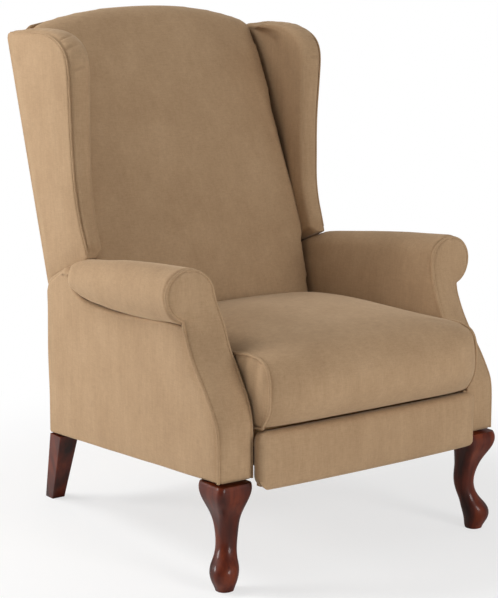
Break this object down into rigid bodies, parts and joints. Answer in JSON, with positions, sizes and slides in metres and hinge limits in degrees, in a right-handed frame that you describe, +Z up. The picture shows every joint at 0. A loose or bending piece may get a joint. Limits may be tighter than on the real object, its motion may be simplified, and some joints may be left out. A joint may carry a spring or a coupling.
{
  "type": "high leg recliner",
  "caption": "Wing chair recliner on cabriole legs: scroll arms, a back that reclines, a seat that slides forward and a footrest that swings up from under the seat.",
  "frame": {"origin": "on the floor, under the centre of the chair's bounding box", "axes": "+X to the right of the chair as seen from its front, +Y towards the back, +Z up; the chair faces -Y"},
  "size_m": [0.7618, 0.8963, 1.0703],
  "materials": {
    "cover_fabric": "tan brushed microfibre with a soft nap",
    "leg_wood": "dark cherry stain under gloss lacquer",
    "frame_wood": "bare planed hardwood",
    "link_steel": "black satin coat on pressed steel",
    "spring_steel": "oiled spring wire",
    "glide_nylon": "natural nylon",
    "strap_webbing": "woven elastic webbing"
  },
  "bodies": {
    "base": {"front_leg_left": "leg_wood", "front_leg_right": "leg_wood", "rear_leg_left": "leg_wood", "rear_leg_right": "leg_wood", "leg_bolts": "link_steel", "corner_blocks": "frame_wood", "arm_outer_panel_left": "cover_fabric", "arm_outer_panel_right": "cover_fabric", "arm_inner_panel_left": "cover_fabric", "arm_inner_panel_right": "cover_fabric", "arm_roll_left": "cover_fabric", "arm_roll_right": "cover_fabric", "arm_facing_left": "cover_fabric", "arm_facing_right": "cover_fabric", "arm_rear_panel_left": "cover_fabric", "arm_rear_panel_right": "cover_fabric", "side_rail_left": "frame_wood", "side_rail_right": "frame_wood", "arm_front_post_left": "frame_wood", "arm_front_post_right": "frame_wood", "arm_rear_posts": "frame_wood", "arm_top_rails": "frame_wood", "middle_stretcher": "frame_wood", "rear_rail": "frame_wood", "rear_cover": "cover_fabric", "base_plate_left": "link_steel", "base_plate_right": "link_steel"},
    "seat": {"seat_rail_left": "frame_wood", "seat_rail_right": "frame_wood", "seat_front_rail": "frame_wood", "seat_rear_rail": "frame_wood", "seat_springs": "spring_steel", "seat_glides": "glide_nylon", "seat_plate_left": "link_steel", "seat_plate_right": "link_steel", "seat_cushion": "cover_fabric"},
    "back": {"back_post_left": "frame_wood", "back_post_right": "frame_wood", "back_bracket_left": "link_steel", "back_bracket_right": "link_steel", "back_low_rail": "frame_wood", "back_top_rail": "frame_wood", "back_straps": "strap_webbing", "back_cushion": "cover_fabric", "outside_back": "cover_fabric", "wing_panel_left": "cover_fabric", "wing_panel_right": "cover_fabric", "wing_pad_left": "cover_fabric", "wing_pad_right": "cover_fabric"},
    "rear_links": {"footrest_rear_link_left": "link_steel", "footrest_rear_link_right": "link_steel", "footrest_link_tube": "link_steel"},
    "guide_links": {"footrest_guide_link_left": "link_steel", "footrest_guide_link_right": "link_steel"},
    "front_arms": {"footrest_front_arm_left": "link_steel", "footrest_front_arm_right": "link_steel"},
    "footrest": {"footrest_bracket_left": "link_steel", "footrest_bracket_right": "link_steel", "footrest_board": "frame_wood", "footrest_pad": "cover_fabric"}
  },
  "joints": [
    {"name": "recline", "type": "hinge", "parent": "base", "child": "back", "pos_m": [0, 0.27008, 0.36], "axis": [-1, 0, 0], "range_deg": [0, 30]},
    {"name": "seat_glide", "type": "slide", "parent": "base", "child": "seat", "axis": [0, -1, 0], "range_m": [0, 0.0451]},
    {"name": "rear_link_swing", "type": "hinge", "parent": "seat", "child": "rear_links", "pos_m": [0, -0.243, 0.27], "axis": [-1, 0, 0], "range_deg": [0, 156.01]},
    {"name": "guide_link_swing", "type": "hinge", "parent": "seat", "child": "guide_links", "pos_m": [0, -0.205, 0.294], "axis": [-1, 0, 0], "range_deg": [0, 156.01]},
    {"name": "front_arm_swing", "type": "hinge", "parent": "rear_links", "child": "front_arms", "pos_m": [0, -0.08352, 0.20557], "axis": [1, 0, 0], "range_deg": [0, 156.01]},
    {"name": "footrest_tilt", "type": "hinge", "parent": "front_arms", "child": "footrest", "pos_m": [0, -0.335, 0.25], "axis": [-1, 0, 0], "range_deg": [0, 90.01]}
  ],
  "couplings": [
    {"joint": "seat_glide", "follows": "recline", "m_per_rad": 0.085944},
    {"joint": "rear_link_swing", "follows": "recline", "ratio": 5.2},
    {"joint": "guide_link_swing", "follows": "recline", "ratio": 5.2},
    {"joint": "front_arm_swing", "follows": "recline", "ratio": 5.2},
    {"joint": "footrest_tilt", "follows": "recline", "ratio": 3}
  ]
}
